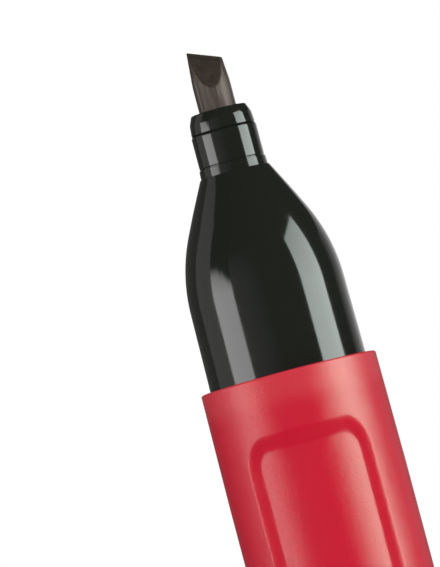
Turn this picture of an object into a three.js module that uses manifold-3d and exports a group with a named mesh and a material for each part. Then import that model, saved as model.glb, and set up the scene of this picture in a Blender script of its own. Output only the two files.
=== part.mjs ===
// A large chisel-tip permanent marker, uncapped for writing, with its cap pushed onto the tail of the
// barrel. It stands on the flat closed end of that cap.
// Sizes are in millimetres and angles in degrees. The origin is the centre of the cap's closed end, +Z
// runs up the axis to the nib, and the front panel of the barrel faces -Y.
import * as THREE from "three";
import { mergeVertices } from "three/addons/utils/BufferGeometryUtils.js";
import Module from "manifold-3d";

const wasm = await Module();
wasm.setup();

// Fits
const fitClearance = 0.15; // all round a piece that is pushed into another
const seatGap = 0.3; // between end faces that rest on each other
const capClearance = 0.25; // all round the nose, or the tail post, in the cap's mouth

// Nib: a round felt rod, ground to a slanted chisel edge
const nibRadius = 2.5;
const nibExposedLength = 8.2; // neck rim to the longer corner of the edge
const nibTaperLength = 4.4; // the sides narrow over this length below the longer corner
const nibTipRadius = 2.12;
const nibEdgeSlant = 21.2; // of the writing edge, from square to the axis
const nibEdgeThickness = 1.65;
const nibBevelAngle = 21.3; // of each ground face, from the axis
const nibTurn = -5; // of the writing edge round the axis, from square to the barrel's panels
const nibInsertion = 8; // how far the nib's tail reaches into the reservoir
const nibTailTipRadius = 1.2;
const nibTailConeLength = 3;

// Ferrule: the flanged bush in the neck that grips the nib
const ferruleWall = 0.75;
const ferruleLipHeight = 2.75;
const ferruleLipSetback = 0.15; // the lip is this much slimmer than the neck below it
const ferruleLipRounding = 0.8;
const ferruleShankLength = 12;
const ventCount = 4;
const ventWidth = 0.8;
const ventDepth = 0.35;

// Nose: the bottle-shaped front moulding
const noseBaseRadius = 10.35;
const noseDraft = 0.73;
const noseStraightLength = 10.4; // drafted part in front of the barrel's rim
const shoulderArcRadius = 23.1;
const shoulderConeAngle = 26.25;
const noseWall = 1.5;
const neckWall = 0.75;
const neckFlare = 0.27; // how much the neck widens where it meets the shoulder
const neckFlareHeight = 1.4;
const neckLength = 4.15; // straight part above the flare
const spigotLength = 9; // part of the nose that is pushed into the barrel
const spigotChamfer = 0.6;

// Barrel
const barrelLength = 84;
const barrelRimWall = 1.13;
const barrelSwell = 0.13; // the barrel is this much fatter in the middle than at its ends
const barrelSwellLength = 15;
const barrelEdgeChamfer = 0.25;
const noseSeatLedge = 0.65; // step in the bore that the nose's spigot stops on
const barrelRibCount = 6;
const barrelRibHeight = 1.75;
const barrelRibWidth = 1;

// The two sunk panels on the barrel, front and back
const panelDepth = 0.75;
const panelEndMargin = 7.4; // from each end of the barrel to the panel's outline
const panelHalfAngle = 43.2; // from the panel's middle to its outline, around the barrel
const panelSideSlope = 1.5; // width of the sloping wall along the sides
const panelEndSlope = 2.1; // width of the sloping wall at the two ends
const panelCornerRadius = 3.2;

// Reservoir: a fibre core in a film wrap, with a breather tube beside it under the wrap
const filmThickness = 0.3;
const breatherRadius = 0.9;
const breatherBoreRadius = 0.5;

// Tail plug, whose post the cap is pushed onto
const postLength = 11;
const plugWall = 1.5;
const plugSpigotLength = 8;
const plugRounding = 1;
const plugSeatDepth = 3; // how far the reservoir sits down in the plug
const plugCrossThickness = 1.2;

// Cap
const capLength = 49;
const capDraft = 0.75;
const capEndWall = 1.6;
const capEndRounding = 1.5;
const capMouthChamfer = 0.25;
const capFinCount = 6;
const capFinHeight = 14;
const capFinThickness = 1;

// Liner: the inner cup that seals round the neck when the cap is on the nose
const linerClearance = 0.2;
const linerWall = 0.9;
const linerFloor = 1;
const linerRimDepth = 28.6; // from the cap's mouth down to the liner's rim

// Clip, plugged into a socket on the side of the cap
const clipWidth = 6;
const clipThickness = 1.6;
const clipStandOff = 1.5; // gap between the clip and the cap's widest radius
const clipFootHeight = 3; // the foot of the clip above the standing face
const clipLength = 39;
const clipBeadRadius = 2.2;
const clipTipRounding = 0.7;
const socketPlay = 0.3; // all round the clip's foot, which rocks in the socket as the clip flexes
const socketWall = 1.1;
const socketBase = 1.2; // thickness under the clip's foot
const socketDepth = 5.5;
const socketRounding = 1.4;

// How finely round shapes are cut
const roundSegments = 48;
const arcSteps = 3;
const panelFloorSteps = 3;
const panelCornerSteps = 6;
const barrelSideSteps = 6;

// Cutters
const cutMargin = 1; // how far a cutter runs past the face that it cuts
const planeBlockSize = 60; // edge of the block that stands for everything beyond a plane

// Sizes that follow from the ones above
const degrees = Math.PI / 180;
const tangent = (angle) => Math.tan(angle * degrees);
const sine = (angle) => Math.sin(angle * degrees);
const cosine = (angle) => Math.cos(angle * degrees);

const ferruleBoreRadius = nibRadius + fitClearance;
const ferruleShankRadius = ferruleBoreRadius + ferruleWall;
const neckBoreRadius = ferruleShankRadius + fitClearance;
const neckRadius = neckBoreRadius + neckWall;
const ferruleLipRadius = neckRadius - ferruleLipSetback;

const barrelBoreMouthRadius = noseBaseRadius + fitClearance;
const barrelEndRadius = barrelBoreMouthRadius + barrelRimWall;
const barrelRadius = barrelEndRadius + barrelSwell;
const barrelBoreRadius = barrelBoreMouthRadius - noseSeatLedge;

const filmRadius = barrelBoreRadius - barrelRibHeight - fitClearance;
const coreRadius = filmRadius - filmThickness - fitClearance;

// Heights on the nose, counted from the barrel's rim
const shoulderStart = new THREE.Vector2(
  noseBaseRadius - noseStraightLength * tangent(noseDraft),
  noseStraightLength,
);
const shoulderCentre = new THREE.Vector2(
  shoulderStart.x - shoulderArcRadius * cosine(noseDraft),
  shoulderStart.y - shoulderArcRadius * sine(noseDraft),
);
const neckFlareRadius = neckRadius + neckFlare;
const neckFootHeight = shoulderHeightAt(neckFlareRadius, 0);
const neckTopHeight = neckFootHeight + neckFlareHeight + neckLength;
const neckRimHeight = neckTopHeight + ferruleLipHeight;
const nibCornerHeight = neckRimHeight + nibExposedLength;

// The reservoir stops where the inside of the shoulder closes in on its wrap
const reservoirTop = shoulderHeightAt(filmRadius + fitClearance, noseWall);
const nibTailHeight = reservoirTop - nibInsertion;

// Heights on the barrel, counted from its rear end
const plugFloorHeight = plugWall - postLength;
const reservoirFoot = plugSpigotLength - plugSeatDepth;
const reservoirLength = barrelLength + reservoirTop - reservoirFoot;

// Heights on the cap, counted from its closed end
const barrelFootHeight = capLength + seatGap;
const capBoreRadius = noseBaseRadius + capClearance;
const linerRimHeight = capLength - linerRimDepth;
const linerBoreRadius = neckRadius + linerClearance;
const linerRadius = linerBoreRadius + linerWall;
const clipFaceRadius = barrelEndRadius + clipStandOff;
const socketTop = clipFootHeight + socketDepth;

const capRadiusAt = (height) => barrelEndRadius - (capLength - height) * tangent(capDraft);
const capBoreRadiusAt = (height) => capBoreRadius - (capLength - height) * tangent(capDraft);

const red = { color: 0xc8202f, roughness: 0.38, metalness: 0 };
const glossBlack = { color: 0x1b1c1a, roughness: 0.12, metalness: 0 };
const capBlack = { color: 0x1d1e1c, roughness: 0.3, metalness: 0 };
const felt = { color: 0x4a423d, roughness: 0.9, metalness: 0 };
const inkedFibre = { color: 0x24222a, roughness: 0.95, metalness: 0 };
const clearFilm = { color: 0xd8dcdc, roughness: 0.2, metalness: 0 };
const naturalPlastic = { color: 0xe6e4dc, roughness: 0.45, metalness: 0 };

// Height above the rim where the shoulder, moved in by an inset, has shrunk to a given radius
function shoulderHeightAt(radius, inset) {
  const arcRadius = shoulderArcRadius - inset;
  const coneStartRadius = shoulderCentre.x + arcRadius * cosine(shoulderConeAngle);
  if (radius > coneStartRadius) {
    const turned = Math.acos(Math.min(1, (radius - shoulderCentre.x) / arcRadius));
    return shoulderCentre.y + arcRadius * Math.sin(turned);
  }
  const coneStart = shoulderCentre.y + arcRadius * sine(shoulderConeAngle);
  return coneStart + (coneStartRadius - radius) / tangent(shoulderConeAngle);
}

// Turned shapes are drawn as a path of radius and height, then spun about Z
function spin(path) {
  const geometry = new THREE.LatheGeometry(path.getPoints(arcSteps), roundSegments);
  return geometry.rotateX(Math.PI / 2);
}

function disc(radius, foot, top) {
  const path = new THREE.Path();
  path.moveTo(0, foot).lineTo(radius, foot).lineTo(radius, top).lineTo(0, top);
  return spin(path);
}

function tube(innerRadius, outerRadius, foot, top) {
  const path = new THREE.Path();
  path.moveTo(innerRadius, foot).lineTo(outerRadius, foot);
  path.lineTo(outerRadius, top).lineTo(innerRadius, top).lineTo(innerRadius, foot);
  return spin(path);
}

// A block that reaches out from the axis between two radii, turned to an angle about Z
function spoke(innerRadius, outerRadius, width, foot, top, angle) {
  const block = new THREE.BoxGeometry(outerRadius - innerRadius, width, top - foot);
  block.translate((innerRadius + outerRadius) / 2, 0, (foot + top) / 2);
  return block.rotateZ(angle);
}

function toSolid(geometry) {
  const bare = geometry.clone();
  bare.deleteAttribute("normal");
  bare.deleteAttribute("uv");
  const merged = mergeVertices(bare, 1e-4);
  const mesh = new wasm.Mesh({
    numProp: 3,
    vertProperties: merged.attributes.position.array,
    triVerts: new Uint32Array(merged.index.array),
  });
  return new wasm.Manifold(mesh);
}

function toGeometry(solid) {
  const mesh = solid.getMesh();
  const geometry = new THREE.BufferGeometry();
  geometry.setAttribute("position", new THREE.BufferAttribute(mesh.vertProperties, 3));
  geometry.setIndex(new THREE.BufferAttribute(mesh.triVerts, 1));
  const faceted = geometry.toNonIndexed();
  faceted.computeVertexNormals();
  return faceted;
}

function cut(geometry, ...cutters) {
  const left = cutters.reduce((solid, cutter) => solid.subtract(toSolid(cutter)), toSolid(geometry));
  return toGeometry(left);
}

function join(geometry, ...additions) {
  const whole = additions.reduce((solid, extra) => solid.add(toSolid(extra)), toSolid(geometry));
  return toGeometry(whole);
}

// Everything on the far side of a plane through a point, as a block big enough to cut the nib
function beyondPlane(point, direction) {
  const size = planeBlockSize;
  const block = new THREE.BoxGeometry(size, size, size).translate(0, 0, size / 2);
  const turn = new THREE.Quaternion().setFromUnitVectors(
    new THREE.Vector3(0, 0, 1),
    direction.clone().normalize(),
  );
  return block.applyQuaternion(turn).translate(point.x, point.y, point.z);
}

function nibGeometry() {
  const path = new THREE.Path();
  path.moveTo(0, nibTailHeight).lineTo(nibTailTipRadius, nibTailHeight);
  path.lineTo(nibRadius, nibTailHeight + nibTailConeLength);
  path.lineTo(nibRadius, nibCornerHeight - nibTaperLength);
  path.lineTo(nibTipRadius, nibCornerHeight).lineTo(0, nibCornerHeight);
  const fall = tangent(nibEdgeSlant);
  const middle = nibCornerHeight - nibTipRadius * fall; // height of the edge on the axis
  const lean = tangent(nibBevelAngle);
  const half = nibEdgeThickness / 2;
  return cut(
    spin(path),
    beyondPlane(new THREE.Vector3(0, 0, middle), new THREE.Vector3(fall, 0, 1)),
    beyondPlane(new THREE.Vector3(0, -half, middle), new THREE.Vector3(fall * lean, -1, lean)),
    beyondPlane(new THREE.Vector3(0, half, middle), new THREE.Vector3(fall * lean, 1, lean)),
  ).rotateZ(nibTurn * degrees);
}

function ferruleGeometry() {
  const lipFoot = neckTopHeight + fitClearance;
  const shankFoot = neckTopHeight - ferruleShankLength;
  const roundingCentre = neckRimHeight - ferruleLipRounding;
  const path = new THREE.Path();
  path.moveTo(ferruleBoreRadius, shankFoot).lineTo(ferruleShankRadius, shankFoot);
  path.lineTo(ferruleShankRadius, lipFoot).lineTo(ferruleLipRadius, lipFoot);
  path.lineTo(ferruleLipRadius, roundingCentre);
  const centre = ferruleLipRadius - ferruleLipRounding;
  path.absarc(centre, roundingCentre, ferruleLipRounding, 0, Math.PI / 2, false);
  path.lineTo(ferruleBoreRadius, neckRimHeight).lineTo(ferruleBoreRadius, shankFoot);
  const vents = [];
  for (let i = 0; i < ventCount; i++) {
    const angle = ((i + 0.5) / ventCount) * 2 * Math.PI;
    const reach = ferruleBoreRadius + ventDepth;
    vents.push(spoke(0, reach, ventWidth, shankFoot - cutMargin, neckRimHeight + cutMargin, angle));
  }
  return cut(spin(path), ...vents);
}

// The outer line of the nose and, moved in by the wall, the inner one, from the rim to the neck
function addShoulder(path, inset, foot, endRadius, upwards) {
  const arcRadius = shoulderArcRadius - inset;
  const footRadius = noseBaseRadius - inset / cosine(noseDraft);
  const neckEnd = shoulderHeightAt(endRadius, inset);
  if (upwards) {
    path.lineTo(footRadius, foot).lineTo(footRadius, 0);
    path.absarc(shoulderCentre.x, shoulderCentre.y, arcRadius,
      noseDraft * degrees, shoulderConeAngle * degrees, false);
    path.lineTo(endRadius, neckEnd);
    return;
  }
  path.lineTo(endRadius, neckEnd);
  path.absarc(shoulderCentre.x, shoulderCentre.y, arcRadius,
    shoulderConeAngle * degrees, noseDraft * degrees, true);
  path.lineTo(footRadius, 0).lineTo(footRadius, foot);
}

function noseGeometry() {
  const path = new THREE.Path();
  path.moveTo(noseBaseRadius - spigotChamfer, -spigotLength);
  addShoulder(path, 0, spigotChamfer - spigotLength, neckFlareRadius, true);
  path.lineTo(neckRadius, neckFootHeight + neckFlareHeight);
  path.lineTo(neckRadius, neckTopHeight).lineTo(neckBoreRadius, neckTopHeight);
  addShoulder(path, noseWall, -spigotLength, neckBoreRadius, false);
  path.lineTo(noseBaseRadius - spigotChamfer, -spigotLength);
  return spin(path);
}

function panelDepthAt(angle, height) {
  const halfTurn = Math.PI;
  const offCentre = Math.abs(angle - halfTurn * Math.round(angle / halfTurn));
  const halfWidth = barrelRadius * panelHalfAngle * degrees;
  const across = barrelRadius * offCentre - halfWidth + panelCornerRadius;
  const pastEnd = Math.abs(height - barrelLength / 2) - barrelLength / 2 + panelEndMargin;
  const along = (pastEnd * panelSideSlope) / panelEndSlope + panelCornerRadius;
  const outside = Math.hypot(Math.max(across, 0), Math.max(along, 0));
  const distance = outside + Math.min(Math.max(across, along), 0) - panelCornerRadius;
  return panelDepth * Math.min(1, Math.max(0, -distance / panelSideSlope));
}

function barrelRadiusAt(height) {
  const fromEnd = Math.min(height, barrelLength - height);
  const swell = barrelSwell * Math.min(1, fromEnd / barrelSwellLength);
  return barrelEndRadius + swell - Math.max(0, barrelEdgeChamfer - fromEnd);
}

// Angles in one quarter turn from the middle of a panel, closest together at the panel's sloping side
function quarterAngles() {
  const outline = panelHalfAngle * degrees;
  const cornerSpan = panelCornerRadius / barrelRadius;
  const angles = [];
  for (let i = 0; i < panelFloorSteps; i++) {
    angles.push(((outline - cornerSpan) * i) / panelFloorSteps);
  }
  for (let i = 0; i < panelCornerSteps; i++) {
    angles.push(outline - cornerSpan * (1 - i / panelCornerSteps));
  }
  for (let i = 0; i < barrelSideSteps; i++) {
    angles.push(outline + ((Math.PI / 2 - outline) * i) / barrelSideSteps);
  }
  return angles;
}

function barrelAngles() {
  const quarter = quarterAngles();
  const half = [...quarter, Math.PI / 2, ...quarter.slice(1).reverse().map((a) => Math.PI - a)];
  return [...half, ...half.map((a) => a + Math.PI)];
}

function barrelHeights() {
  const cornerSpan = (panelCornerRadius * panelEndSlope) / panelSideSlope;
  const lower = [0, barrelEdgeChamfer, panelEndMargin / 2];
  for (let i = 0; i <= panelCornerSteps; i++) {
    lower.push(panelEndMargin + (cornerSpan * i) / panelCornerSteps);
  }
  lower.push(barrelSwellLength);
  lower.sort((a, b) => a - b);
  return [...lower, ...lower.map((height) => barrelLength - height).reverse()];
}

// The outside of the barrel as a closed solid: rings of points, with a point at the middle of each end
function barrelSkin() {
  const angles = barrelAngles();
  const heights = barrelHeights();
  const positions = [];
  for (const height of heights) {
    for (const angle of angles) {
      const radius = barrelRadiusAt(height) - panelDepthAt(angle, height);
      positions.push(radius * Math.sin(angle), -radius * Math.cos(angle), height);
    }
  }
  const count = angles.length;
  const footCentre = positions.length / 3;
  positions.push(0, 0, 0, 0, 0, barrelLength);
  const topRing = (heights.length - 1) * count;
  const faces = [];
  for (let i = 0; i < count; i++) {
    const next = (i + 1) % count;
    for (let ring = 0; ring < topRing; ring += count) {
      faces.push(ring + i, ring + next, ring + count + next);
      faces.push(ring + i, ring + count + next, ring + count + i);
    }
    faces.push(footCentre, next, i, footCentre + 1, topRing + i, topRing + next);
  }
  const geometry = new THREE.BufferGeometry();
  geometry.setAttribute("position", new THREE.Float32BufferAttribute(positions, 3));
  geometry.setIndex(faces);
  return geometry;
}

function barrelGeometry() {
  const ledgeHeight = barrelLength - spigotLength - seatGap;
  const bore = new THREE.Path();
  const boreTop = barrelLength + cutMargin;
  bore.moveTo(0, -cutMargin).lineTo(barrelBoreRadius, -cutMargin);
  bore.lineTo(barrelBoreRadius, ledgeHeight).lineTo(barrelBoreMouthRadius, ledgeHeight);
  bore.lineTo(barrelBoreMouthRadius, boreTop).lineTo(0, boreTop);
  const ribs = [];
  const ribFace = filmRadius + fitClearance;
  for (let i = 0; i < barrelRibCount; i++) {
    const angle = (i / barrelRibCount) * 2 * Math.PI;
    const foot = plugSpigotLength + seatGap;
    ribs.push(spoke(ribFace, barrelBoreMouthRadius, barrelRibWidth, foot, ledgeHeight, angle));
  }
  return cut(barrelSkin(), cut(spin(bore), ...ribs));
}

function plugGeometry() {
  const spigotRadius = barrelBoreRadius - fitClearance;
  const cupRadius = spigotRadius - plugWall;
  const ledge = -fitClearance;
  const footRadius = noseBaseRadius - postLength * tangent(noseDraft);
  const path = new THREE.Path();
  path.moveTo(0, -postLength).lineTo(footRadius - plugRounding, -postLength);
  path.absarc(footRadius - plugRounding, plugRounding - postLength, plugRounding,
    -Math.PI / 2, 0, false);
  path.lineTo(noseBaseRadius, ledge).lineTo(spigotRadius, ledge);
  path.lineTo(spigotRadius, plugSpigotLength).lineTo(cupRadius, plugSpigotLength);
  path.lineTo(cupRadius, plugFloorHeight).lineTo(0, plugFloorHeight);
  const crossTop = reservoirFoot - seatGap;
  const crossFoot = plugFloorHeight - plugWall / 2;
  const reach = cupRadius + plugWall / 2;
  const cross = [0, Math.PI / 2].map((angle) =>
    spoke(-reach, reach, plugCrossThickness, crossFoot, crossTop, angle),
  );
  return join(spin(path), ...cross);
}

// The groove for the breather tube runs down the right-hand side of the core
function coreGeometry() {
  const socketFoot = reservoirLength - nibInsertion - seatGap;
  const grooveFloor = coreRadius - 2 * breatherRadius - 2 * fitClearance;
  const grooveWidth = 2 * (breatherRadius + fitClearance);
  const cutTop = reservoirLength + cutMargin;
  return cut(
    disc(coreRadius, 0, reservoirLength),
    disc(nibRadius + fitClearance, socketFoot, cutTop),
    spoke(grooveFloor, coreRadius + cutMargin, grooveWidth, -cutMargin, cutTop, 0),
  );
}

function breatherGeometry() {
  const tubeGeometry = tube(breatherBoreRadius, breatherRadius, 0, reservoirLength);
  return tubeGeometry.translate(coreRadius - fitClearance - breatherRadius, 0, 0);
}

function linerGeometry() {
  const foot = capEndWall + seatGap;
  const path = new THREE.Path();
  path.moveTo(0, foot).lineTo(linerRadius, foot).lineTo(linerRadius, linerRimHeight);
  path.lineTo(linerBoreRadius, linerRimHeight).lineTo(linerBoreRadius, foot + linerFloor);
  path.lineTo(0, foot + linerFloor);
  return spin(path);
}

function capShellGeometry() {
  const path = new THREE.Path();
  const footRadius = capRadiusAt(capEndRounding);
  path.moveTo(0, 0).lineTo(footRadius - capEndRounding, 0);
  path.absarc(footRadius - capEndRounding, capEndRounding, capEndRounding, -Math.PI / 2, 0, false);
  path.lineTo(barrelEndRadius, capLength - capMouthChamfer);
  path.lineTo(barrelEndRadius - capMouthChamfer, capLength).lineTo(capBoreRadius, capLength);
  path.lineTo(capBoreRadiusAt(capEndWall), capEndWall).lineTo(0, capEndWall);
  const fins = [];
  const finTop = capEndWall + capFinHeight;
  const finReach = (capBoreRadiusAt(finTop) + capRadiusAt(capEndWall)) / 2;
  for (let i = 0; i < capFinCount; i++) {
    const angle = ((i + 0.5) / capFinCount) * 2 * Math.PI;
    const face = linerRadius + fitClearance;
    fins.push(spoke(face, finReach, capFinThickness, capEndWall / 2, finTop, angle));
  }
  const shell = join(spin(path), ...fins, socketBlock());
  return cut(shell, socketPocket());
}

// A block with rounded outer corners, drawn from above and raised, that stands on the cap's right side
function socketBlock() {
  const outer = clipFaceRadius + clipThickness + socketPlay + socketWall;
  const half = clipWidth / 2 + socketPlay + socketWall;
  const inner = (capRadiusAt(0) + capBoreRadiusAt(0)) / 2 - roundingOf(half);
  const shape = new THREE.Shape();
  shape.moveTo(inner, -half).lineTo(outer - socketRounding, -half);
  shape.absarc(outer - socketRounding, socketRounding - half, socketRounding,
    -Math.PI / 2, 0, false);
  shape.absarc(outer - socketRounding, half - socketRounding, socketRounding,
    0, Math.PI / 2, false);
  shape.lineTo(inner, half);
  const foot = clipFootHeight - socketPlay - socketBase;
  const block = new THREE.ExtrudeGeometry(shape, {
    depth: socketTop - foot, bevelEnabled: false, curveSegments: arcSteps,
  });
  return block.translate(0, 0, foot);
}

// How far the cap's round side falls away at a given distance from the middle of the block
function roundingOf(distance) {
  return capRadiusAt(0) - Math.sqrt(capRadiusAt(0) ** 2 - distance ** 2);
}

function socketPocket() {
  const width = clipWidth + 2 * socketPlay;
  const outer = clipFaceRadius + clipThickness + socketPlay;
  return spoke(clipFaceRadius - socketPlay, outer, width, clipFootHeight - socketPlay,
    socketTop + cutMargin, 0);
}

// The clip's side view, extruded to its width: a flat arm with a bead near the free end
function clipGeometry() {
  const outer = clipFaceRadius + clipThickness;
  const top = clipFootHeight + clipLength;
  const beadHeight = top - 2 * clipBeadRadius;
  const beadTip = capRadiusAt(beadHeight) + seatGap;
  const beadCentre = beadTip + clipBeadRadius;
  const bite = Math.acos(Math.max(-1, Math.min(1, (beadCentre - clipFaceRadius) / clipBeadRadius)));
  const shape = new THREE.Shape();
  shape.moveTo(clipFaceRadius, clipFootHeight).lineTo(outer, clipFootHeight);
  shape.lineTo(outer, top - clipTipRounding);
  shape.absarc(outer - clipTipRounding, top - clipTipRounding, clipTipRounding,
    0, Math.PI / 2, false);
  shape.lineTo(clipFaceRadius, top);
  shape.absarc(beadCentre, beadHeight, clipBeadRadius, Math.PI - bite, Math.PI + bite, false);
  const arm = new THREE.ExtrudeGeometry(shape, {
    depth: clipWidth, bevelEnabled: false, curveSegments: 2 * arcSteps,
  });
  return arm.rotateX(Math.PI / 2).translate(0, clipWidth / 2, 0);
}

function piece(name, geometry, look) {
  const mesh = new THREE.Mesh(geometry, new THREE.MeshStandardMaterial(look));
  mesh.name = name;
  return mesh;
}

const nose = new THREE.Group();
nose.position.z = barrelLength;
nose.add(
  piece("nib", nibGeometry(), felt),
  piece("nib_ferrule", ferruleGeometry(), glossBlack),
  piece("nose_section", noseGeometry(), glossBlack),
);

const reservoir = new THREE.Group();
reservoir.position.z = reservoirFoot;
reservoir.add(
  piece("reservoir_core", coreGeometry(), inkedFibre),
  piece("reservoir_wrap", tube(coreRadius + fitClearance, filmRadius, 0, reservoirLength), clearFilm),
  piece("breather_tube", breatherGeometry(), naturalPlastic),
);

const marker = new THREE.Group();
marker.position.z = barrelFootHeight;
marker.add(
  piece("barrel_shell", barrelGeometry(), red),
  piece("tail_plug", plugGeometry(), glossBlack),
  reservoir,
  nose,
);

const cap = new THREE.Group();
cap.add(
  piece("cap_shell", capShellGeometry(), capBlack),
  piece("cap_liner", linerGeometry(), naturalPlastic),
  piece("cap_clip", clipGeometry(), capBlack),
);

const permanentMarker = new THREE.Group();
permanentMarker.add(marker, cap);

export default permanentMarker;
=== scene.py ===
import math

import bmesh
import bpy
from mathutils import Matrix, Quaternion, Vector


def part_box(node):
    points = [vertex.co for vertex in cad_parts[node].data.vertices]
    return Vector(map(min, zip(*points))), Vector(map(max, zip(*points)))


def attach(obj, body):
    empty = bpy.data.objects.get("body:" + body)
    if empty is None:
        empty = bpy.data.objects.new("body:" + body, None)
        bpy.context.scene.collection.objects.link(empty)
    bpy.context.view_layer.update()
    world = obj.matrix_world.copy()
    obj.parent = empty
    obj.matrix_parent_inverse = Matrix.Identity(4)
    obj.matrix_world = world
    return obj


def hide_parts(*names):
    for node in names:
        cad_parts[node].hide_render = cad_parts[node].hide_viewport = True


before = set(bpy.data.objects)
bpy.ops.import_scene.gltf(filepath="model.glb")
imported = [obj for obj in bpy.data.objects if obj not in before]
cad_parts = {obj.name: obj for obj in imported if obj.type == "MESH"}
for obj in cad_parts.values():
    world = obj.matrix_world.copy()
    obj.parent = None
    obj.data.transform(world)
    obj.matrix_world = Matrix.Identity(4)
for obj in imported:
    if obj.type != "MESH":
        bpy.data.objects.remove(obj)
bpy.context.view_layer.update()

# A large chisel-tip permanent marker, nib up, with its cap pushed onto the tail.
# Sizes in the settings are millimetres and degrees, as a toolmaker would give them.

scene = bpy.context.scene
scene.view_settings.view_transform = "Standard"
mm = 0.001


def lowOf(node):
    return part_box(node)[0].z / mm


def topOf(node):
    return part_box(node)[1].z / mm


barrelFoot = lowOf("barrel_shell")
barrelRim = topOf("barrel_shell")
neckTop = topOf("nose_section")
lipTop = topOf("nib_ferrule")
nibTip = topOf("nib")
capMouth = topOf("cap_shell")


# Tools

arcs = {"fewestSteps": 3, "stepAngle": 9, "stepLength": 0.5}  # how finely a rounding is divided


def linearFromHex(code):
    channels = [int(code[i:i + 2], 16) / 255 for i in (0, 2, 4)]
    return (*[c / 12.92 if c <= 0.04045 else ((c + 0.055) / 1.055) ** 2.4 for c in channels], 1)


def setInputs(tree, node, inputs):
    # A node given as it is means its first output, and text is a colour's hex code
    for key, value in inputs.items():
        if isinstance(value, bpy.types.Node):
            value = value.outputs[0]
        if isinstance(value, bpy.types.NodeSocket):
            tree.links.new(value, node.inputs[key])
        else:
            node.inputs[key].default_value = linearFromHex(value) if isinstance(value, str) else value


def addNode(tree, kind, inputs=None, **settings):
    # A kind without "Node" in it is a shader node's
    node = tree.nodes.new(kind if "Node" in kind else "ShaderNode" + kind)
    for name, value in settings.items():
        setattr(node, name, value)
    setInputs(tree, node, inputs or {})
    return node


def startMaterial(name, shaderValues):
    material = bpy.data.materials.new(name)
    material.use_nodes = True
    tree = material.node_tree
    shader = tree.nodes["Principled BSDF"]
    setInputs(tree, shader, shaderValues)
    place = addNode(tree, "TexCoord").outputs["Object"]
    return material, tree, shader, place


def roundedOutline(corners):
    # Corners are (radius, height, rounding); each rounding becomes an arc that touches both sides
    points = []
    for i, (radius, height, rounding) in enumerate(corners):
        here = Vector((radius, height))
        if rounding == 0:
            points.append(here)
            continue
        before = (Vector(corners[i - 1][:2]) - here).normalized()
        after = (Vector(corners[(i + 1) % len(corners)][:2]) - here).normalized()
        half = before.angle(after) / 2
        centre = here + (before + after).normalized() * rounding / math.sin(half)
        start = here + before * rounding / math.tan(half) - centre
        end = here + after * rounding / math.tan(half) - centre
        turn = math.copysign(math.pi - 2 * half, start.cross(end))
        steps = max(arcs["fewestSteps"], math.ceil(abs(turn) / math.radians(arcs["stepAngle"])),
                    math.ceil(abs(turn) * rounding / arcs["stepLength"]))
        for k in range(steps + 1):
            points.append(centre + Matrix.Rotation(turn * k / steps, 2) @ start)
    return points


def splitRuns(outline, beyondRadius, spacingAt):
    # Straight runs outside a radius get points along them, so that a pattern can bend them
    points = []
    for here, after in zip(outline, outline[1:] + outline[:1]):
        points.append(here)
        while min(here.x, after.x) > beyondRadius and (after - here).length > spacingAt(here.y) * 1.5:
            here = here + (after - here).normalized() * spacingAt(here.y)
            points.append(here)
    return points


def turned(outline, around):
    # Spins an outline about Z into a closed mesh; points on the axis become poles.
    # "around" is a number of even steps, or a list of angles
    angles = around
    if isinstance(around, int):
        angles = [2 * math.pi * k / around for k in range(around)]
    mesh = bmesh.new()
    rings = []
    for point in outline:
        turns = angles if point.x > 1e-6 else angles[:1]
        ring = [(point.x * math.sin(a) * mm, -point.x * math.cos(a) * mm, point.y * mm) for a in turns]
        rings.append([mesh.verts.new(place) for place in ring])
    followers = rings[1:] + ([] if len(rings[0]) == 1 else rings[:1])
    for lower, upper in zip(rings, followers):
        for k in range(len(angles)):
            corners = [lower[j % len(lower)] for j in (k, k + 1)]
            corners += [upper[j % len(upper)] for j in (k + 1, k)]
            mesh.faces.new(list(dict.fromkeys(corners)))
    bmesh.ops.recalc_face_normals(mesh, faces=mesh.faces)
    return mesh


def newObject(name, mesh):
    data = bpy.data.meshes.new(name)
    mesh.to_mesh(data)
    mesh.free()
    piece = bpy.data.objects.new(name, data)
    scene.collection.objects.link(piece)
    return piece


def extruded(name, outline, depth):
    # A flat outline, drawn out by a vector into a closed block
    mesh = bmesh.new()
    face = mesh.faces.new([mesh.verts.new([length * mm for length in point]) for point in outline])
    drawn = bmesh.ops.extrude_face_region(mesh, geom=[face])["geom"]
    moved = [v for v in drawn if isinstance(v, bmesh.types.BMVert)]
    bmesh.ops.translate(mesh, verts=moved, vec=[length * mm for length in depth])
    bmesh.ops.recalc_face_normals(mesh, faces=mesh.faces)
    return newObject(name, mesh)


def settle(piece):
    # What the modifiers make becomes the piece's own plain mesh
    bpy.context.view_layer.update()
    shape = bpy.data.meshes.new_from_object(piece.evaluated_get(bpy.context.evaluated_depsgraph_get()))
    piece.modifiers.clear()
    piece.data = shape
    return piece


def combine(piece, other, operation):
    modifier = piece.modifiers.new(operation, "BOOLEAN")
    modifier.operation = operation
    modifier.solver = "EXACT"
    modifier.object = other
    settle(piece)
    bpy.data.objects.remove(other)


def bevelled(piece, width, segments, angle):
    modifier = piece.modifiers.new("softEdges", "BEVEL")
    modifier.width = width * mm
    modifier.segments = segments
    modifier.limit_method = "ANGLE"
    modifier.angle_limit = math.radians(angle)
    settle(piece)


def startTree(name, inputs):
    tree = bpy.data.node_groups.new(name, "GeometryNodeTree")
    for label, kind in {"Geometry": "Geometry", **inputs, "Material": "Material"}.items():
        tree.interface.new_socket(label, in_out="INPUT", socket_type="NodeSocket" + kind)
    tree.interface.new_socket("Geometry", in_out="OUTPUT", socket_type="NodeSocketGeometry")
    return tree, addNode(tree, "NodeGroupInput").outputs


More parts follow.
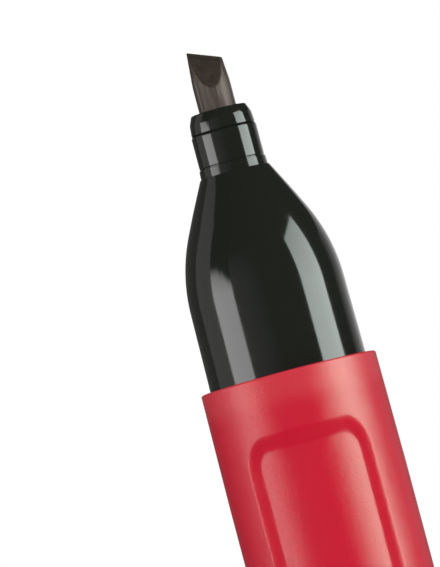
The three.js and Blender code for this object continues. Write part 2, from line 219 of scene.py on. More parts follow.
def endTree(tree, geometry, given):
    real = addNode(tree, "GeometryNodeRealizeInstances", {0: geometry})
    dressed = addNode(tree, "GeometryNodeSetMaterial", {"Geometry": real, "Material": given["Material"]})
    addNode(tree, "NodeGroupOutput", {0: dressed})
    return tree


def runTree(piece, tree, values):
    # Runs a Geometry Nodes tree on a piece, with its inputs set by their names in the tree
    modifier = piece.modifiers.new(tree.name, "NODES")
    modifier.node_group = tree
    sockets = {item.name: item.identifier for item in tree.interface.items_tree if item.in_out == "INPUT"}
    for name, value in values.items():
        modifier[sockets[name]] = value
    return settle(piece)


def aroundAxisTree():
    tree, given = startTree("aroundTheAxis", {"Count": "Int", "First Angle": "Float"})
    points = addNode(tree, "GeometryNodePoints", {"Count": given["Count"]})
    order = addNode(tree, "GeometryNodeInputIndex")
    step = addNode(tree, "Math", {0: 2 * math.pi, 1: given["Count"]}, operation="DIVIDE")
    angle = addNode(tree, "Math", {0: order, 1: step, 2: given["First Angle"]}, operation="MULTIPLY_ADD")
    turn = addNode(tree, "CombineXYZ", {2: angle})
    copies = addNode(tree, "GeometryNodeInstanceOnPoints", {"Points": points, "Rotation": turn,
                                                            "Instance": given["Geometry"]})
    return endTree(tree, copies, given)


def innerFins(name, count, firstAngle, thickness, faceRadius, backRadius, foot, top, lead, material):
    # One fin that stands on the inside of a wall, with a sloping lead-in at its top, copied round the axis
    side = [(faceRadius, foot), (backRadius, foot), (backRadius, top), (faceRadius + lead, top),
            (faceRadius, top - lead)]
    fin = extruded(name, [(x, -thickness / 2, z) for x, z in side], (0, thickness, 0))
    return runTree(fin, aroundAxisTree(), {"Count": count, "First Angle": firstAngle, "Material": material})


def finishPiece(piece, material, body, nodes, slot, sharpAngle=40):
    piece.data.materials.clear()
    piece.data.materials.append(material)
    piece.data.polygons.foreach_set("use_smooth", [True] * len(piece.data.polygons))
    piece.data.polygons.foreach_set("material_index", [0] * len(piece.data.polygons))
    piece.data.set_sharp_from_angle(angle=math.radians(sharpAngle))
    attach(piece, body)
    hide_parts(*nodes)
    print(slot, "made,", len(piece.data.polygons), "faces")


# Camera: level with the upper part of the barrel, rolled so that the marker leans to the left

view = {
    "distance": 850,
    "belowRim": 31,  # the lens is this far under the barrel's rim
    "lean": 14.9,
    "frame": (440, 567),  # pixels
    "scale": 7.74,  # pixels per millimetre at the marker's axis
    "rimPixel": (288.2, 373.4),  # where the axis passes the barrel's rim
    "sensor": 36,
    "clipping": (10, 20000),
}


def makeCamera():
    lean = math.radians(view["lean"])
    # From the rim to the middle of the frame, along the picture and then along the marker
    right = (view["frame"][0] / 2 - view["rimPixel"][0]) / view["scale"]
    up = (view["rimPixel"][1] - view["frame"][1] / 2) / view["scale"]
    across = right * math.cos(lean) + up * math.sin(lean)
    above = up * math.cos(lean) - right * math.sin(lean)
    eye = Vector((0, -view["distance"], barrelRim - view["belowRim"])) * mm
    aim = Vector((across, 0, barrelRim + above)) * mm
    data = bpy.data.cameras.new("photoCamera")
    data.sensor_width = view["sensor"]
    data.lens = data.sensor_width * (aim - eye).length / mm / (view["frame"][1] / view["scale"])
    data.clip_start, data.clip_end = (distance * mm for distance in view["clipping"])
    camera = bpy.data.objects.new("photoCamera", data)
    camera.location = eye
    camera.rotation_mode = "QUATERNION"
    camera.rotation_quaternion = (aim - eye).to_track_quat("-Z", "Y") @ Quaternion((0, 0, 1), -lean)
    scene.collection.objects.link(camera)
    scene.camera = camera
    print("camera made, lens", round(data.lens))


makeCamera()


# Light: two softboxes whose reflections run down the nose, and dim cards behind them. The barrel has
# softboxes and a card of its own, a little further round, narrower or dimmer.
# "glow" is a panel's share of its radiance at its lowest and highest azimuth, "topGlow" at its top,
# and "fadeFrom" the height where its fade to that begins. Its top edge falls straight by "slant" towards
# the lowest azimuth, or in folds by "ragged" towards the highest. All three are shares of its height

studio = {
    "rightSoftbox": {"azimuth": (54.4, 93.5), "elevation": (-14, 37.5), "distance": 600, "radiance": 8.25,
                     "topGlow": 0.6, "fadeFrom": 0.3, "slant": 0.09, "roll": 3, "tint": "f3fff9"},
    "rightBarrelSoftbox": {"azimuth": (48, 92.5), "elevation": (-14, 37), "distance": 600, "radiance": 8.6,
                           "topGlow": 0.6, "tint": "dcfff5"},
    "leftSoftbox": {"azimuth": (-83.4, -48), "elevation": (-14, 24), "distance": 600, "radiance": 5,
                    "topGlow": 0.5, "ragged": 0.2},
    "leftBarrelSoftbox": {"azimuth": (-78, -51), "elevation": (-14, 25), "distance": 600, "radiance": 5.15,
                          "topGlow": 0.5},
    "leftGlow": {"azimuth": (-48, -4), "elevation": (-14, 32), "distance": 620, "radiance": 0.36,
                 "glow": (1, 0.1), "topGlow": 0.2},
    "leftCard": {"azimuth": (-119, -83.4), "elevation": (-14, 50), "distance": 700, "radiance": 0.62,
                 "glow": (0.6, 1), "topGlow": 0.8},
    "leftBackCard": {"azimuth": (-172, -119), "elevation": (-14, 50), "distance": 700, "radiance": 0.06},
    "rightBackCard": {"azimuth": (124, 170), "elevation": (-14, 17.5), "distance": 700, "radiance": 0.95,
                      "glow": (0.15, 1), "topGlow": 0.7},
    "rightBarrelCard": {"azimuth": (110, 170), "elevation": (-14, 17.5), "distance": 700, "radiance": 0.55,
                        "glow": (1, 0.1)},
    "ceiling": {"spread": 40, "distance": 900, "radiance": 2.2},
    "frontFill": {"azimuth": (-30, 30), "elevation": (-8, 40), "distance": 900, "radiance": 2.3},
    "rightFill": {"azimuth": (50, 110), "elevation": (-8, 40), "distance": 900, "radiance": 2.1},
    "leftFill": {"azimuth": (-110, -50), "elevation": (-8, 40), "distance": 900, "radiance": 0.95},
    "backFill": {"azimuth": (150, 210), "elevation": (-8, 40), "distance": 900, "radiance": 1.9},
    "fadeFrom": 0.6,  # where nothing else is given
    "foldCount": 9,
    "foldDepth": 0.2,
    "foldBlur": (0.98, 1.12),
    "roomTone": "e8ebea",
    "roomStrength": 0.04,
    "paperTone": "f0f0ee",
    "floorSize": 3200,
    "floorDrop": 0.2,
    "floorClear": (220, 640),  # the floor fades into the background between these distances
    "floorMirrored": (60, 140),  # and out of reflections between these
}


def shapeGlow(tree, setting):
    # How bright a panel is over its width and height
    place = addNode(tree, "SeparateXYZ", {0: addNode(tree, "NewGeometry").outputs["Parametric"]})
    across, height = place.outputs["X"], place.outputs["Y"]
    first, last = setting.get("glow", (1, 1))
    sideways = addNode(tree, "MapRange", {"Value": across, "To Min": first, "To Max": last})
    upwards = addNode(tree, "MapRange", {
        "Value": height, "From Min": setting.get("fadeFrom", studio["fadeFrom"]), "To Min": 1,
        "To Max": setting.get("topGlow", 1)})
    shares = [upwards]
    if "slant" in setting:
        limit = addNode(tree, "Math", {0: across, 1: setting["slant"], 2: 1 - setting["slant"]},
                        operation="MULTIPLY_ADD")
        shares.append(addNode(tree, "Math", {0: height, 1: limit}, operation="LESS_THAN"))
    if "ragged" in setting:
        fold = addNode(tree, "TexNoise", {"W": across, "Scale": studio["foldCount"], "Detail": 2},
                       noise_dimensions="1D")
        slope = addNode(tree, "Math", {0: across, 1: across}, operation="MULTIPLY")
        hang = addNode(tree, "Math", {0: slope, 1: setting["ragged"], 2: height},
                       operation="MULTIPLY_ADD")
        edge = addNode(tree, "Math", {0: fold, 1: studio["foldDepth"], 2: hang}, operation="MULTIPLY_ADD")
        start, end = studio["foldBlur"]
        shares.append(addNode(tree, "MapRange", {"Value": edge, "From Min": start, "From Max": end,
                                                 "To Min": 1, "To Max": 0}))
    glow = sideways
    for share in shares:
        glow = addNode(tree, "Math", {0: glow, 1: share}, operation="MULTIPLY")
    setInputs(tree, tree.nodes["Emission"], {"Strength": glow})


def makeLight(name, gloss, diffuse):
    setting = studio[name]
    distance = setting["distance"]
    data = bpy.data.lights.new(name, "AREA")
    data.shape = "RECTANGLE"
    if "spread" in setting:
        centre = facing = Vector((0, 0, distance))
        data.size = data.size_y = 2 * distance * math.tan(math.radians(setting["spread"] / 2)) * mm
    else:
        left, right = setting["azimuth"]
        foot, head = (distance * math.tan(math.radians(angle)) for angle in setting["elevation"])
        middle = math.radians((left + right) / 2)
        facing = Vector((math.sin(middle), -math.cos(middle), 0)) * distance
        centre = facing + Vector((0, 0, (foot + head) / 2))
        data.size = 2 * distance * math.tan(math.radians((right - left) / 2)) * mm
        data.size_y = (head - foot) * mm
    data.energy = setting["radiance"] * math.pi * data.size * data.size_y
    data.color = linearFromHex(setting.get("tint", "ffffff"))[:3]
    data.use_nodes = True
    shapeGlow(data.node_tree, setting)
    light = bpy.data.objects.new(name, data)
    light.visible_glossy = gloss
    light.visible_diffuse = diffuse
    light.location = (centre + Vector((0, 0, barrelRim))) * mm
    light.rotation_mode = "QUATERNION"
    roll = math.radians(setting.get("roll", 0))
    light.rotation_quaternion = (-facing).to_track_quat("-Z", "Y") @ Quaternion((0, 0, 1), roll)
    scene.collection.objects.link(light)


def makeRoom():
    world = bpy.data.worlds.new("studioWorld")
    scene.world = world
    world.use_nodes = True
    tree = world.node_tree
    tree.nodes.clear()
    ray = addNode(tree, "LightPath").outputs
    room = addNode(tree, "Background", {"Color": studio["roomTone"], "Strength": studio["roomStrength"]})
    backdrop = addNode(tree, "Background", {"Color": (1, 1, 1, 1), "Strength": 1})
    seen = addNode(tree, "Math", {0: ray["Is Camera Ray"], 1: ray["Is Transmission Ray"]},
                   operation="MAXIMUM")
    mixed = addNode(tree, "MixShader", {0: seen, 1: room, 2: backdrop})
    addNode(tree, "OutputWorld", {"Surface": mixed})


def makeFloor():
    # White paper that fades out into the white of the background
    material, tree, shader, place = startMaterial("whitePaperFloor", {
        "Roughness": 0.7, "Base Color": studio["paperTone"]})
    flat = addNode(tree, "VectorMath", {0: place, 1: (1, 1, 0)}, operation="MULTIPLY")
    away = addNode(tree, "VectorMath", {0: flat}, operation="LENGTH").outputs["Value"]
    fades = []
    for name in ("floorClear", "floorMirrored"):
        near, far = (distance * mm for distance in studio[name])
        fades.append(addNode(tree, "MapRange", {"Value": away, "From Min": near, "From Max": far},
                             interpolation_type="SMOOTHSTEP"))
    glossy = addNode(tree, "LightPath").outputs["Is Glossy Ray"]
    mirrored = addNode(tree, "Math", {0: fades[1], 1: glossy}, operation="MULTIPLY")
    beneath = addNode(tree, "NewGeometry").outputs["Backfacing"]
    hidden = addNode(tree, "Math", {0: mirrored, 1: beneath}, operation="MAXIMUM")
    unseen = addNode(tree, "Math", {0: fades[0], 1: hidden}, operation="MAXIMUM")
    clear = addNode(tree, "BsdfTransparent")
    blended = addNode(tree, "MixShader", {0: unseen, 1: shader, 2: clear})
    setInputs(tree, tree.nodes["Material Output"], {"Surface": blended})
    half = studio["floorSize"] * mm / 2
    corners = [(-half, -half), (half, -half), (half, half), (-half, half)]
    sheet = bmesh.new()
    sheet.faces.new([sheet.verts.new((x, y, -studio["floorDrop"] * mm)) for x, y in corners])
    floor = newObject("floor", sheet)
    floor.data.materials.append(material)


def makeStudio():
    for name in ("rightSoftbox", "rightBarrelSoftbox", "leftSoftbox", "leftBarrelSoftbox", "leftGlow"):
        makeLight(name, gloss=True, diffuse=False)
    for name in ("leftCard", "leftBackCard", "rightBackCard", "rightBarrelCard"):
        makeLight(name, gloss=True, diffuse=True)
    for name in ("ceiling", "frontFill", "rightFill", "leftFill", "backFill"):
        makeLight(name, gloss=False, diffuse=True)
    makeRoom()
    makeFloor()
    print("studio lit")


makeStudio()


def linkBarrelLights(piece):
    # Its own softboxes and card shine on the barrel alone, and those that they stand for leave it out
    pairs = {"rightSoftbox": "rightBarrelSoftbox", "leftSoftbox": "leftBarrelSoftbox",
             "rightBackCard": "rightBarrelCard"}
    for pair in pairs.items():
        for name, state in zip(pair, ("EXCLUDE", "INCLUDE")):
            receivers = bpy.data.collections.new(name)
            receivers.objects.link(piece)
            receivers.collection_objects[0].light_linking.link_state = state
            bpy.data.objects[name].light_linking.receiver_collection = receivers


# Materials

def mouldedRedPolypropylene():
    # Injection-moulded polypropylene from a finely spark-eroded tool: satin, because its fine grain
    # spreads a fairly sharp reflection, and paler for a few millimetres below the rim, which is painted
    # sheen.
    # The grain of such a tool is half as coarse, too fine to show
    finish = {"grain": 0.1, "grainDepth": 0.037, "flow": 9, "flowSqueeze": 0.35, "roughness": (0.17, 0.22),
              "tint": ("cf0c30", "c70b2b"), "paintedSheenTone": "d1303f", "paintedSheenBand": (2, 5.2)}
    material, tree, shader, place = startMaterial("mouldedRedPolypropylene", {
        "IOR": 1.49, "Specular Tint": "f7fff3", "Subsurface Weight": 0.08,
        "Subsurface Radius": (1, 0.15, 0.1), "Subsurface Scale": 0.6 * mm})
    stretched = addNode(tree, "Mapping", {"Vector": place, "Scale": (1, 1, finish["flowSqueeze"])})
    flow = addNode(tree, "TexNoise", {"Vector": stretched, "Scale": 1 / (finish["flow"] * mm),
                                      "Detail": 3})
    bright, deep = finish["tint"]
    body = addNode(tree, "Mix", {0: flow, 6: bright, 7: deep}, data_type="RGBA")
    # Painted sheen: the red turns paler towards the rim
    height = addNode(tree, "SeparateXYZ", {0: place}).outputs["Z"]
    near, far = finish["paintedSheenBand"]
    paintedSheenShare = addNode(tree, "MapRange", {"Value": height, "From Min": (barrelRim - far) * mm,
                                        "From Max": (barrelRim - near) * mm},
                     interpolation_type="SMOOTHSTEP")
    colour = addNode(tree, "Mix", {0: paintedSheenShare, 6: body.outputs[2], 7: finish["paintedSheenTone"]}, data_type="RGBA")
    smooth, rough = finish["roughness"]
    sheen = addNode(tree, "MapRange", {"Value": flow, "From Min": 0.3, "From Max": 0.7, "To Min": smooth,
                                       "To Max": rough})
    grain = addNode(tree, "TexNoise", {"Vector": place, "Scale": 1 / (finish["grain"] * mm), "Detail": 1})
    bump = addNode(tree, "Bump", {"Height": grain, "Strength": 1, "Distance": finish["grainDepth"] * mm})
    setInputs(tree, shader, {"Base Color": colour.outputs[2], "Roughness": sheen, "Normal": bump})
    return material


def polishedBlackPolypropylene(name, roughness, tint):
    # Black polypropylene from a polished tool: mirror-like strips of light, slightly wavy, a faint haze
    finish = {"wave": 7, "waveDepth": 0.012, "haze": 1.6, "hazeShare": (0.8, 1.35)}
    material, tree, shader, place = startMaterial(name, {"IOR": 1.5, "Base Color": tint})
    haze = addNode(tree, "TexNoise", {"Vector": place, "Scale": 1 / (finish["haze"] * mm), "Detail": 4})
    smooth, rough = (roughness * share for share in finish["hazeShare"])
    sheen = addNode(tree, "MapRange", {"Value": haze, "From Min": 0.3, "From Max": 0.75, "To Min": smooth,
                                       "To Max": rough})
    wave = addNode(tree, "TexNoise", {"Vector": place, "Scale": 1 / (finish["wave"] * mm), "Detail": 1})
    bump = addNode(tree, "Bump", {"Height": wave, "Strength": 0.5, "Distance": finish["waveDepth"] * mm})
    setInputs(tree, shader, {"Roughness": sheen, "Normal": bump})
    return material


def inkSoakedFelt():
    # Bonded polyester fibre drawn into a rod: a streaked skin with a dull sheen, matt darker cut faces
    # and a thin line of painted shade along the writing edge. Single fibres of 0.02 mm are too fine
    # to show, so the streaks are bundles of them
    finish = {"fibre": 0.16, "fibreLength": 4, "fibreDepth": 0.03, "paintedHighlightShift": 1.1, "blotch": 6,
              "mottle": 0.9, "skin": ("2c241d", "655b54"), "cutFace": ("1c1711", "3b352b"),
              "paintedEdgeShade": "1e1a14", "soaked": (4.8, 2.2), "soakedShare": 0.65, "roughness": (0.46, 0.85)}
    material, tree, shader, place = startMaterial("inkSoakedFelt", {
        "IOR": 1.45, "Specular IOR Level": 0.35, "Specular Tint": "ffece6"})  # dried ink glints reddish
    across = 1 / (finish["fibre"] * mm)
    # The streaks are the fibre bundles' own tone, shifted so that a pale one lies where the sheen falls: in
    # part a painted highlight
    lengthwise = addNode(tree, "Mapping", {
        "Vector": place, "Location": (finish["paintedHighlightShift"] * mm, 0, 0),
        "Scale": (1, 1, finish["fibre"] / finish["fibreLength"])})
    streak = addNode(tree, "TexNoise", {"Vector": lengthwise, "Scale": across, "Detail": 3,
                                        "Roughness": 0.6})
    blotch = addNode(tree, "TexNoise", {"Vector": lengthwise, "Scale": across / finish["blotch"],
                                        "Detail": 2})
    both = addNode(tree, "Math", {0: streak, 1: blotch}, operation="MULTIPLY")
    light = addNode(tree, "MapRange", {"Value": both, "From Min": 0.14, "From Max": 0.38})
    mottle = addNode(tree, "TexNoise", {"Vector": place, "Scale": 1 / (finish["mottle"] * mm),
                                        "Detail": 3})
    skin, cutFace = (addNode(tree, "Mix", {0: pattern, 6: finish[name][0], 7: finish[name][1]},
                             data_type="RGBA")
                     for name, pattern in (("skin", light), ("cutFace", mottle)))
    # The ink wells up towards the writing edge and darkens the skin there
    height = addNode(tree, "SeparateXYZ", {0: place}).outputs["Z"]
    dry, wet = finish["soaked"]
    soaked = addNode(tree, "MapRange", {"Value": height, "From Min": (nibTip - dry) * mm,
                                        "From Max": (nibTip - wet) * mm, "To Max": finish["soakedShare"]},
                     interpolation_type="SMOOTHSTEP")
    ground, paintedEdgeShade = (addNode(tree, "Attribute", attribute_name=name).outputs["Fac"]
                      for name in ("ground", "paintedEdgeShade"))
    dark = addNode(tree, "Math", {0: ground, 1: soaked}, operation="MAXIMUM")
    colour = addNode(tree, "Mix", {0: dark, 6: skin.outputs[2], 7: cutFace.outputs[2]}, data_type="RGBA")
    # Painted shade: a thin dark line just inside the writing edge
    withPaintedEdgeShade = addNode(tree, "Mix", {0: paintedEdgeShade, 6: colour.outputs[2], 7: finish["paintedEdgeShade"]},
                      data_type="RGBA")
    smooth, rough = finish["roughness"]
    sheen = addNode(tree, "MapRange", {"Value": ground, "To Min": smooth, "To Max": rough})
    bump = addNode(tree, "Bump", {"Height": streak, "Strength": 0.6,
                                  "Distance": finish["fibreDepth"] * mm})
    setInputs(tree, shader, {"Base Color": withPaintedEdgeShade.outputs[2], "Roughness": sheen, "Normal": bump})
    return material


def naturalPolyethylene():
    # Uncoloured polyethylene: milky, a little see-through at its edges, waxy
    finish = {"cloud": 3, "tint": ("e6e4dc", "dcdacf")}
    material, tree, shader, place = startMaterial("naturalPolyethylene", {
        "IOR": 1.51, "Roughness": 0.4, "Subsurface Weight": 0.5, "Subsurface Radius": (1, 0.9, 0.8),
        "Subsurface Scale": 1 * mm})
    cloud = addNode(tree, "TexNoise", {"Vector": place, "Scale": 1 / (finish["cloud"] * mm), "Detail": 2})
    pale, dull = finish["tint"]
    colour = addNode(tree, "Mix", {0: cloud, 6: pale, 7: dull}, data_type="RGBA")
    setInputs(tree, shader, {"Base Color": colour.outputs[2]})
    return material


def inkedFibre():
    # The same bonded fibre, loose and full of ink: near black, dull, with lengthwise strands
    finish = {"strand": 0.3, "strandSqueeze": 0.05, "strandDepth": 0.05, "tint": ("19171c", "35313a")}
    material, tree, shader, place = startMaterial("inkedFibre", {"IOR": 1.45, "Roughness": 0.9})
    lengthwise = addNode(tree, "Mapping", {"Vector": place, "Scale": (1, 1, finish["strandSqueeze"])})
    strand = addNode(tree, "TexNoise", {"Vector": lengthwise, "Detail": 3,
                                        "Scale": 1 / (finish["strand"] * mm)})
    deep, pale = finish["tint"]
    colour = addNode(tree, "Mix", {0: strand, 6: deep, 7: pale}, data_type="RGBA")
    bump = addNode(tree, "Bump", {"Height": strand, "Strength": 0.8,
                                  "Distance": finish["strandDepth"] * mm})
    setInputs(tree, shader, {"Base Color": colour.outputs[2], "Normal": bump})
    return material


def clearFilm():
    # Polypropylene film wound thin round the fibre: clear and glossy, with faint wrinkles
    finish = {"wrinkle": 2.5, "wrinkleDepth": 0.05}
    material, tree, shader, place = startMaterial("clearFilm", {
        "IOR": 1.5, "Roughness": 0.15, "Transmission Weight": 0.7, "Base Color": "dfe4e4"})
    wrinkle = addNode(tree, "TexNoise", {"Vector": place, "Detail": 2,
                                         "Scale": 1 / (finish["wrinkle"] * mm)})
    bump = addNode(tree, "Bump", {"Height": wrinkle, "Strength": 0.4,
                                  "Distance": finish["wrinkleDepth"] * mm})
    setInputs(tree, shader, {"Normal": bump})
    return material


redPlastic = mouldedRedPolypropylene()
noseBlack = polishedBlackPolypropylene("polishedNoseBlack", 0.09, "1e201c")
capBlack = polishedBlackPolypropylene("mouldedCapBlack", 0.16, "1a1c19")
felt = inkSoakedFelt()
milky = naturalPolyethylene()
fibre = inkedFibre()
film = clearFilm()
print("materials made")


# Barrel: a turned tube, whose two sunk panels follow a rounded-rectangle rule on its skin

barrel = {
    "endRadius": 11.63,
    "radius": 11.76,
    "swellLength": 15,
    "swellRound": 300,
    "edgeRound": 0.28,
    "mouthBore": 10.5,
    "mouthRound": 0.12,
    "ledgeDepth": 9.3,
    "ledgeRound": 0.1,
    "bore": 9.85,
    "boreRound": 0.2,
    "ribCount": 6,
    "ribFace": 8.1,
    "ribRoot": 0.5,  # how deep the ribs stand in the wall
    "ribThickness": 1,
    "ribFoot": 8.3,
    "ribLead": 0.4,
    "panelDepth": 0.75,
    "panelEndMargin": 7.3,
    "panelHalfAngle": 43.6,
    "panelSideSlope": 1.6,
    "panelEndSlope": 2.2,
    "panelCorner": 3.4,
    "panelSoftness": 0.45,  # 0 is a straight slope with hard edges, 1 is an even S
    "row": (0.2, 1),  # fine and coarse spacing of the mesh along the barrel
    "fineRows": (6, 15),  # rows are fine between these distances from each end
    "turn": (0.5, 1.6),  # fine and coarse spacing round it, in degrees
}


def sunkPanelTree():
    names = ("Skin Above", "Radius", "Half Width", "Middle Height", "Half Length", "Depth", "Side Slope",
             "End Slope", "Corner", "Softness")
    tree, given = startTree("sunkPanels", {name: "Float" for name in names})
    place = addNode(tree, "GeometryNodeInputPosition")
    axes = addNode(tree, "SeparateXYZ", {0: place}).outputs
    rise = addNode(tree, "Math", {0: axes["Z"], 1: given["Middle Height"]}, operation="SUBTRACT")
    sideways, forwards, fromMiddle = (addNode(tree, "Math", {0: part}, operation="ABSOLUTE")
                                      for part in (axes["X"], axes["Y"], rise))
    # How far a point lies past the corners' centres, round the barrel and along it
    offCentre = addNode(tree, "Math", {0: sideways, 1: forwards}, operation="ARCTAN2")
    arc = addNode(tree, "Math", {0: offCentre, 1: given["Radius"]}, operation="MULTIPLY")
    pastSide = addNode(tree, "Math", {0: arc, 1: given["Half Width"]}, operation="SUBTRACT")
    across = addNode(tree, "Math", {0: pastSide, 1: given["Corner"]}, operation="ADD")
    pastEnd = addNode(tree, "Math", {0: fromMiddle, 1: given["Half Length"]}, operation="SUBTRACT")
    ratio = addNode(tree, "Math", {0: given["Side Slope"], 1: given["End Slope"]}, operation="DIVIDE")
    along = addNode(tree, "Math", {0: pastEnd, 1: ratio, 2: given["Corner"]}, operation="MULTIPLY_ADD")
    # Its distance inside the rounded rectangle
    acrossOut, alongOut = (addNode(tree, "Math", {0: part, 1: 0.0}, operation="MAXIMUM")
                           for part in (across, along))
    outward = addNode(tree, "CombineXYZ", {0: acrossOut, 1: alongOut})
    outside = addNode(tree, "VectorMath", {0: outward}, operation="LENGTH").outputs["Value"]
    larger = addNode(tree, "Math", {0: across, 1: along}, operation="MAXIMUM")
    inside = addNode(tree, "Math", {0: larger, 1: 0.0}, operation="MINIMUM")
    total = addNode(tree, "Math", {0: outside, 1: inside}, operation="ADD")
    distance = addNode(tree, "Math", {0: given["Corner"], 1: total}, operation="SUBTRACT")
    straight, curved = (addNode(tree, "MapRange", {"Value": distance, "From Max": given["Side Slope"],
                                                   "To Max": given["Depth"]}, interpolation_type=kind)
                        for kind in ("LINEAR", "SMOOTHSTEP"))
    sunk = addNode(tree, "Mix", {0: given["Softness"], 2: straight, 3: curved})
    # Only the skin moves, towards the axis
    level = addNode(tree, "VectorMath", {0: place, 1: (-1, -1, 0)}, operation="MULTIPLY")
    inward = addNode(tree, "VectorMath", {0: level}, operation="NORMALIZE")
    shift = addNode(tree, "VectorMath", {0: inward, "Scale": sunk}, operation="SCALE")
    fromAxis = addNode(tree, "VectorMath", {0: level}, operation="LENGTH").outputs["Value"]
    skin = addNode(tree, "FunctionNodeCompare", {0: fromAxis, 1: given["Skin Above"]},
                   data_type="FLOAT", operation="GREATER_THAN")
    moved = addNode(tree, "GeometryNodeSetPosition", {"Geometry": given["Geometry"], "Selection": skin,
                                                      "Offset": shift})
    return endTree(tree, moved, given)


def barrelTurns():
    # Angles round the barrel, close together from a panel's corner to a degree past its side
    outline = barrel["panelHalfAngle"]
    corner = math.degrees(barrel["panelCorner"] / barrel["radius"])
    fine, coarse = barrel["turn"]
    turns, angle = [], 0
    while angle < 90:
        turns.append(angle)
        angle += fine if outline - corner < angle < outline + 1 else coarse
    half = turns + [90] + [180 - angle for angle in reversed(turns[1:])]
    return [math.radians(angle + side) for side in (0, 180) for angle in half]


def rowSpacing(height):
    fine, coarse = barrel["row"]
    start, end = barrel["fineRows"]
    return fine if start < min(height - barrelFoot, barrelRim - height) < end else coarse


def makeBarrel():
    ledge = barrelRim - barrel["ledgeDepth"]
    outline = roundedOutline([
        (barrel["endRadius"], barrelFoot, barrel["edgeRound"]),
        (barrel["radius"], barrelFoot + barrel["swellLength"], barrel["swellRound"]),
        (barrel["radius"], barrelRim - barrel["swellLength"], barrel["swellRound"]),
        (barrel["endRadius"], barrelRim, barrel["edgeRound"]),
        (barrel["mouthBore"], barrelRim, barrel["mouthRound"]),
        (barrel["mouthBore"], ledge, barrel["ledgeRound"]),
        (barrel["bore"], ledge, barrel["ledgeRound"]),
        (barrel["bore"], barrelFoot, barrel["boreRound"]),
    ])
    skinAbove = (barrel["mouthBore"] + barrel["endRadius"]) / 2
    piece = newObject("barrel", turned(splitRuns(outline, skinAbove, rowSpacing), barrelTurns()))
    runTree(piece, sunkPanelTree(), {
        "Skin Above": skinAbove * mm,
        "Radius": barrel["radius"] * mm,
        "Half Width": barrel["radius"] * math.radians(barrel["panelHalfAngle"]) * mm,
        "Middle Height": (barrelFoot + barrelRim) / 2 * mm,
        "Half Length": ((barrelRim - barrelFoot) / 2 - barrel["panelEndMargin"]) * mm,
        "Depth": barrel["panelDepth"] * mm,
        "Side Slope": barrel["panelSideSlope"] * mm,
        "End Slope": barrel["panelEndSlope"] * mm,
        "Corner": barrel["panelCorner"] * mm,
        "Softness": barrel["panelSoftness"],
        "Material": redPlastic,
    })
    ribs = innerFins("ribs", barrel["ribCount"], 0.0, barrel["ribThickness"], barrel["ribFace"],
                     barrel["bore"] + barrel["ribRoot"], barrelFoot + barrel["ribFoot"], ledge,
                     barrel["ribLead"], redPlastic)
    combine(piece, ribs, "UNION")
    finishPiece(piece, redPlastic, "marker", ["barrel_shell"], "barrel")
    linkBarrelLights(piece)


makeBarrel()


# Nose: one turned moulding, whose shoulder is a large rounding between the base and the cone

nose = {
    "baseRadius": 10.35,
    "draft": 0.73,
    "shoulderRound": 23.1,
    "coneAngle": 25.7,
    "bendRadius": 6.73,  # the cone is a little steeper above this radius
    "bendHeight": 22.8,
    "bendRound": 70,
    "topAngle": 27.3,
    "collarRadius": 4.46,
    "collarTopRadius": 4.4,
    "collarHeight": 1.2,
    "collarRounds": (0.05, 0.03, 0.06),  # where the cone meets it, then its lower and upper edge
    "groove": 0.06,
    "grooveRounds": (0.02, 0.02, 0.1),
    "neckRadius": 4.3,
    "neckLength": 4.4,
    "neckRound": 0.3,
    "neckRise": 0.08,  # the neck meets the ferrule's lip; the solids leave a fit's gap there
    "neckBore": 3.55,
    "boreRounds": (0.1, 0.5),  # at the neck's end and below the neck
    "wall": 1.5,
    "spigotLength": 9,
    "spigotTaper": 0.1,
    "spigotRounds": (0.4, 0.2),  # outside and inside
    "around": 256,
}


def makeNose():
    base, cone, top = (math.tan(math.radians(nose[name])) for name in ("draft", "coneAngle", "topAngle"))
    bend, bendHeight = nose["bendRadius"], nose["bendHeight"]
    neckEnd = neckTop + nose["neckRise"]
    collarTop = neckTop - nose["neckLength"]
    collarFoot = collarTop - nose["collarHeight"]
    coneTop = bend - (collarFoot - barrelRim - bendHeight) * top
    # The drafted base, r = baseRadius - base * h, meets the cone, r = bend + cone * (bendHeight - h)
    meet = (bend + cone * bendHeight - nose["baseRadius"]) / (cone - base)
    meetRadius = nose["baseRadius"] - base * meet
    spigotFoot = barrelRim - nose["spigotLength"]
    wall, groove = nose["wall"], nose["groove"]
    outline = roundedOutline([
        (nose["baseRadius"] - nose["spigotTaper"], spigotFoot, nose["spigotRounds"][0]),
        (nose["baseRadius"], barrelRim, 0),
        (meetRadius, barrelRim + meet, nose["shoulderRound"]),
        (bend, barrelRim + bendHeight, nose["bendRound"]),
        (coneTop, collarFoot, nose["collarRounds"][0]),
        (nose["collarRadius"], collarFoot, nose["collarRounds"][1]),
        (nose["collarTopRadius"], collarTop, nose["collarRounds"][2]),
        (nose["neckRadius"] - groove, collarTop, nose["grooveRounds"][0]),
        (nose["neckRadius"] - groove, collarTop + groove * 2, nose["grooveRounds"][1]),
        (nose["neckRadius"], collarTop + groove * 4, nose["grooveRounds"][2]),
        (nose["neckRadius"], neckEnd, nose["neckRound"]),
        (nose["neckBore"], neckEnd, nose["boreRounds"][0]),
        (nose["neckBore"], collarFoot - wall, nose["boreRounds"][1]),
        (meetRadius - wall, barrelRim + meet, nose["shoulderRound"] - wall),
        (nose["baseRadius"] - wall, spigotFoot, nose["spigotRounds"][1]),
    ])
    piece = newObject("nose", turned(outline, nose["around"]))
    finishPiece(piece, noseBlack, "marker", ["nose_section"], "nose", sharpAngle=30)


makeNose()


# Ferrule: the lipped bush that grips the nib, with air grooves down its bore

